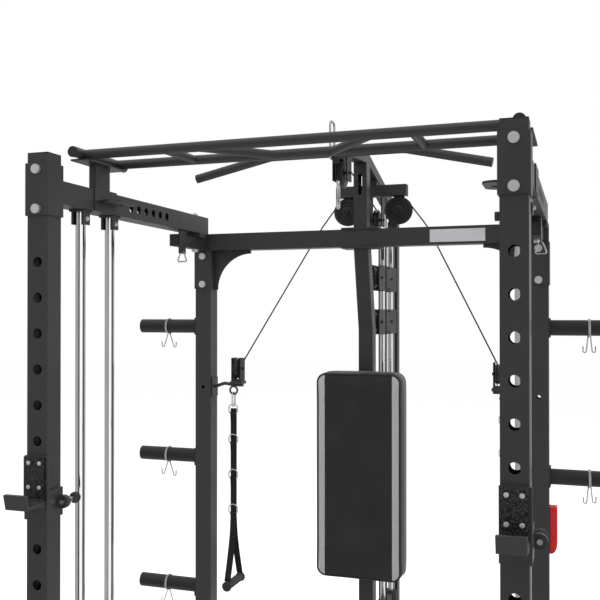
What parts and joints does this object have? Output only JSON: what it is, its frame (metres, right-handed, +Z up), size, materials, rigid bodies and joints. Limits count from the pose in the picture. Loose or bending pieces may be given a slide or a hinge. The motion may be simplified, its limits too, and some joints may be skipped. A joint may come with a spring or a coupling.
{
  "type": "power cage",
  "caption": "Four-post power cage with guided bar, overhead grips, plate pegs, hook cups, back pad and a rear cable tower with strap handles.",
  "frame": {"origin": "on the floor, midway between the four posts (centre of the floor-bolt rectangle)", "axes": "+X to the right seen from the front, +Y to the back (towards the cable tower), +Z up"},
  "size_m": [2.01, 1.7578, 2.2935],
  "materials": {
    "black_coat": "satin",
    "black_plastic": "matt",
    "black_rubber": "matt",
    "bright_zinc": "satin",
    "cable_sheath": "satin",
    "chrome_plate": "polished",
    "hide": "soft satin",
    "ply": "painted",
    "red_coat": "satin",
    "silver_plate": "satin",
    "web_strap": "woven",
    "wheel_plastic": "satin"
  },
  "bodies": {
    "frame": {"anchor_plates": "black_coat", "back_pad": "hide", "base_beams": "black_coat", "beam_fittings": "black_coat", "blank_plate": "silver_plate", "cables": "cable_sheath", "chrome_rings": "chrome_plate", "cross_arm": "black_coat", "cup_liners": "black_plastic", "end_caps": "black_plastic", "foot_plates": "black_coat", "frame_bolts": "bright_zinc", "front_post_left": "black_coat", "front_post_right": "black_coat", "guide_rods": "chrome_plate", "hook_cups": "black_coat", "pad_board": "ply", "plate_pegs": "black_coat", "post_sleeves": "black_coat", "pullup_frame": "black_coat", "pullup_supports": "black_coat", "rear_cross_beam": "black_coat", "rear_post_left": "black_coat", "rear_post_right": "black_coat", "rod_brackets": "black_coat", "rubber_bumpers": "black_rubber", "side_beam_left": "black_coat", "side_beam_right": "black_coat", "side_cover": "red_coat", "swivel_arms": "black_coat", "tower_boom": "black_coat", "tower_column": "black_coat", "tower_mast": "black_coat", "tower_rear_post": "black_coat", "wheel_brackets": "black_coat"},
    "lat_wheel_front_body": {"lat_wheel_front": "wheel_plastic"},
    "lat_wheel_rear_body": {"lat_wheel_rear": "wheel_plastic"},
    "cross_wheel_left_body": {"cross_wheel_left": "wheel_plastic"},
    "swivel_wheel_left_body": {"swivel_wheel_left": "wheel_plastic"},
    "cross_wheel_right_body": {"cross_wheel_right": "wheel_plastic"},
    "swivel_wheel_right_body": {"swivel_wheel_right": "wheel_plastic"},
    "block_wheel_hi_1_body": {"block_wheel_hi_1": "wheel_plastic"},
    "block_wheel_hi_2_body": {"block_wheel_hi_2": "wheel_plastic"},
    "block_wheel_lo_1_body": {"block_wheel_lo_1": "wheel_plastic"},
    "block_wheel_lo_2_body": {"block_wheel_lo_2": "wheel_plastic"},
    "load": {"load_carriage": "black_coat", "load_collars": "black_rubber"},
    "bar_slider": {"bar_carriages": "black_coat"},
    "bar": {"guided_bar": "chrome_plate", "bar_hooks": "black_coat"},
    "lock_pin_left_body": {"lock_pin_left": "chrome_plate"},
    "lock_pin_right_body": {"lock_pin_right": "chrome_plate"},
    "lat_hook_body": {"lat_hook": "chrome_plate"},
    "lat_bar_body": {"lat_bar": "black_coat"},
    "handle_left": {"handle_links_left": "chrome_plate", "strap_left": "web_strap", "grip_left": "black_rubber"},
    "handle_right": {"handle_links_right": "chrome_plate", "strap_right": "web_strap", "grip_right": "black_rubber"}
  },
  "joints": [
    {"name": "lat_front_spin", "type": "hinge", "parent": "frame", "child": "lat_wheel_front_body", "pos_m": [0, 0.25, 2.14], "axis": [1, 0, 0], "continuous": true},
    {"name": "lat_rear_spin", "type": "hinge", "parent": "frame", "child": "lat_wheel_rear_body", "pos_m": [0, 0.745, 2.04], "axis": [1, 0, 0], "continuous": true},
    {"name": "cross_left_spin", "type": "hinge", "parent": "frame", "child": "cross_wheel_left_body", "pos_m": [-0.094, 0.68, 2.066], "axis": [0, 1, 0], "continuous": true},
    {"name": "swivel_left_spin", "type": "hinge", "parent": "frame", "child": "swivel_wheel_left_body", "pos_m": [-0.46, 0.5115, 1.497], "axis": [1, 0, 0], "continuous": true},
    {"name": "cross_right_spin", "type": "hinge", "parent": "frame", "child": "cross_wheel_right_body", "pos_m": [0.094, 0.68, 2.066], "axis": [0, 1, 0], "continuous": true},
    {"name": "swivel_right_spin", "type": "hinge", "parent": "frame", "child": "swivel_wheel_right_body", "pos_m": [0.46, 0.5115, 1.497], "axis": [1, 0, 0], "continuous": true},
    {"name": "block_hi_1_spin", "type": "hinge", "parent": "frame", "child": "block_wheel_hi_1_body", "pos_m": [0, 0.745, 1.828], "axis": [1, 0, 0], "continuous": true},
    {"name": "block_hi_2_spin", "type": "hinge", "parent": "frame", "child": "block_wheel_hi_2_body", "pos_m": [0, 0.919, 1.828], "axis": [1, 0, 0], "continuous": true},
    {"name": "block_lo_1_spin", "type": "hinge", "parent": "frame", "child": "block_wheel_lo_1_body", "pos_m": [0, 0.745, 1.664], "axis": [1, 0, 0], "continuous": true},
    {"name": "block_lo_2_spin", "type": "hinge", "parent": "frame", "child": "block_wheel_lo_2_body", "pos_m": [0, 0.919, 1.664], "axis": [1, 0, 0], "continuous": true},
    {"name": "load_travel", "type": "slide", "parent": "frame", "child": "load", "axis": [0, 0, 1], "range_m": [0, 0.95]},
    {"name": "bar_travel", "type": "slide", "parent": "frame", "child": "bar_slider", "axis": [0, 0, 1], "range_m": [0, 1.1]},
    {"name": "bar_turn", "type": "hinge", "parent": "bar_slider", "child": "bar", "pos_m": [0, -0.262, 0.76], "axis": [1, 0, 0], "range_deg": [-60, 10]},
    {"name": "lock_pin_left_pull", "type": "slide", "parent": "frame", "child": "lock_pin_left_body", "axis": [0, 1, 0], "range_m": [0, 0.012], "stiffness_N_per_m": 700, "springref_m": -0.004},
    {"name": "lock_pin_right_pull", "type": "slide", "parent": "frame", "child": "lock_pin_right_body", "axis": [0, 1, 0], "range_m": [0, 0.012], "stiffness_N_per_m": 700, "springref_m": -0.004},
    {"name": "lat_hook_swing", "type": "hinge", "parent": "frame", "child": "lat_hook_body", "pos_m": [0, 0.2042, 2.1042], "axis": [1, 0, 0], "range_deg": [-25, 18]},
    {"name": "lat_bar_roll", "type": "hinge", "parent": "frame", "child": "lat_bar_body", "pos_m": [0, 0.181, 2.192], "axis": [1, 0, 0], "range_deg": [-30, 25]},
    {"name": "handle_left_swing", "type": "hinge", "parent": "frame", "child": "handle_left", "pos_m": [-0.477, 0.5115, 1.403], "axis": [1, 0, 0], "range_deg": [-60, 30]},
    {"name": "handle_right_swing", "type": "hinge", "parent": "frame", "child": "handle_right", "pos_m": [0.477, 0.5115, 1.403], "axis": [1, 0, 0], "range_deg": [-60, 30]}
  ]
}
